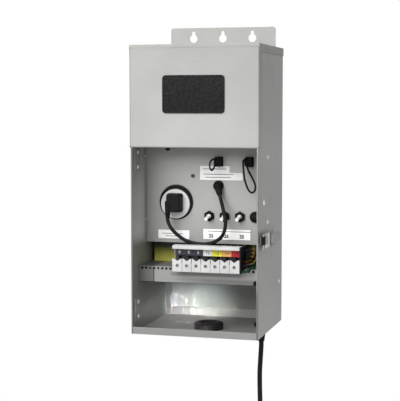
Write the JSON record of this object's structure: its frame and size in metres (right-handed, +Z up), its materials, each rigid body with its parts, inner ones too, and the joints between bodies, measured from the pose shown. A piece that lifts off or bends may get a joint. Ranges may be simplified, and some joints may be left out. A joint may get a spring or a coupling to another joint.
{
  "type": "low voltage landscape transformer",
  "caption": "Tall wall-hung steel box with keyhole flange, recessed control panel, plug-in timer, lever breakers and a colour-tagged terminal row on a tray.",
  "frame": {"origin": "centre of the middle keyhole's round hole, on the wall side of the back panel", "axes": "+X to the right as seen from the front, +Y towards the wall, +Z up"},
  "size_m": [0.1952, 0.1626, 0.697],
  "materials": {
    "brushed_sheet": "brushed stainless, satin",
    "bright_steel": "bright rolled steel",
    "badge": "gloss black",
    "black_plastic": "matte black moulding",
    "black_rubber": "soft black",
    "grey_plastic": "matte light grey",
    "white_plastic": "semi-gloss white",
    "dark_steel": "blackened steel",
    "brass": "plain brass",
    "tag_dark": "printed film",
    "tag_white": "printed film",
    "tag_yellow": "printed film",
    "tag_orange": "printed film",
    "tag_red": "printed film",
    "wire_black": "PVC insulation",
    "wire_red": "PVC insulation",
    "wire_green": "PVC insulation",
    "insulation": "yellow polyester film",
    "core_tape": "wound polyester tape"
  },
  "bodies": {
    "enclosure": {"back_panel": "brushed_sheet", "left_side": "brushed_sheet", "right_side": "brushed_sheet", "floor_panel": "brushed_sheet", "top_cap": "brushed_sheet", "upper_cover": "brushed_sheet", "badge_plate": "badge", "control_panel": "brushed_sheet", "wall_rivets": "bright_steel", "hinge_leaves": "bright_steel", "catch_stud": "bright_steel", "receptacle_ring": "black_plastic", "receptacle_face": "grey_plastic", "timer_lead": "wire_black", "lead_boot": "black_rubber", "photocell_sockets": "black_plastic", "breaker_bodies": "black_plastic", "breaker_nuts": "black_plastic", "reset_body": "black_plastic", "hole_plug": "black_plastic", "ground_screw": "dark_steel", "wiring_tray": "brushed_sheet", "tray_bumper": "black_rubber", "terminal_block": "white_plastic", "terminal_screws": "bright_steel", "terminal_sleeves": "brass", "tap_tags_black": "tag_dark", "tap_tag_white": "tag_white", "tap_tag_yellow": "tag_yellow", "tap_tag_orange": "tag_orange", "tap_tag_red": "tag_red", "black_leads": "wire_black", "colour_leads": "wire_red", "green_lead": "wire_green", "insulating_sheet": "insulation", "toroid": "core_tape", "toroid_pads": "black_rubber", "toroid_clamp": "bright_steel", "block_end_plate": "black_plastic", "cable_bushing": "black_plastic", "cord_gland": "black_plastic", "power_cord": "wire_black", "cord_coil": "wire_black", "cord_tie": "black_plastic", "cord_plug": "black_plastic", "cord_plug_blades": "brass", "latch_base": "bright_steel"},
    "lever_1": {"breaker_lever_1": "white_plastic"},
    "lever_2": {"breaker_lever_2": "white_plastic"},
    "lever_3": {"breaker_lever_3": "white_plastic"},
    "reset": {"reset_button": "black_plastic"},
    "timer_plug": {"timer_plug": "black_plastic", "timer_plug_blades": "brass"},
    "jumper_left": {"jumper_plug_left": "black_plastic", "jumper_loop_left": "wire_black"},
    "jumper_right": {"jumper_plug_right": "black_plastic", "jumper_loop_right": "wire_black"},
    "latch_lever": {"latch_lever": "bright_steel"},
    "latch_bail": {"latch_bail": "bright_steel", "latch_hook": "dark_steel"}
  },
  "joints": [
    {"name": "breaker_1_throw", "type": "hinge", "parent": "enclosure", "child": "lever_1", "pos_m": [0.00451, -0.096, -0.2565], "axis": [-0.9063, 0, 0.4226], "range_deg": [0, 36]},
    {"name": "breaker_2_throw", "type": "hinge", "parent": "enclosure", "child": "lever_2", "pos_m": [0.02701, -0.096, -0.2565], "axis": [-0.9063, 0, 0.4226], "range_deg": [0, 36]},
    {"name": "breaker_3_throw", "type": "hinge", "parent": "enclosure", "child": "lever_3", "pos_m": [0.0495, -0.096, -0.2565], "axis": [-0.9063, 0, 0.4226], "range_deg": [0, 36]},
    {"name": "reset_press", "type": "slide", "parent": "enclosure", "child": "reset", "axis": [0, 1, 0], "range_m": [0, 0.0025], "stiffness_N_per_m": 400},
    {"name": "timer_plug_pull", "type": "slide", "parent": "enclosure", "child": "timer_plug", "axis": [0, -1, 0], "range_m": [0, 0.02]},
    {"name": "left_jumper_pull", "type": "slide", "parent": "enclosure", "child": "jumper_left", "axis": [0, -1, 0], "range_m": [0, 0.01]},
    {"name": "right_jumper_pull", "type": "slide", "parent": "enclosure", "child": "jumper_right", "axis": [0, -1, 0], "range_m": [0, 0.01]},
    {"name": "latch_throw", "type": "hinge", "parent": "enclosure", "child": "latch_lever", "pos_m": [0.097, -0.102, -0.285], "axis": [0, 0, -1], "range_deg": [0, 120]},
    {"name": "bail_follow", "type": "hinge", "parent": "latch_lever", "child": "latch_bail", "pos_m": [0.097, -0.094, -0.285], "axis": [0, 0, 1], "range_deg": [0, 125]}
  ],
  "couplings": [
    {"joint": "bail_follow", "follows": "latch_throw", "ratio": 1}
  ]
}
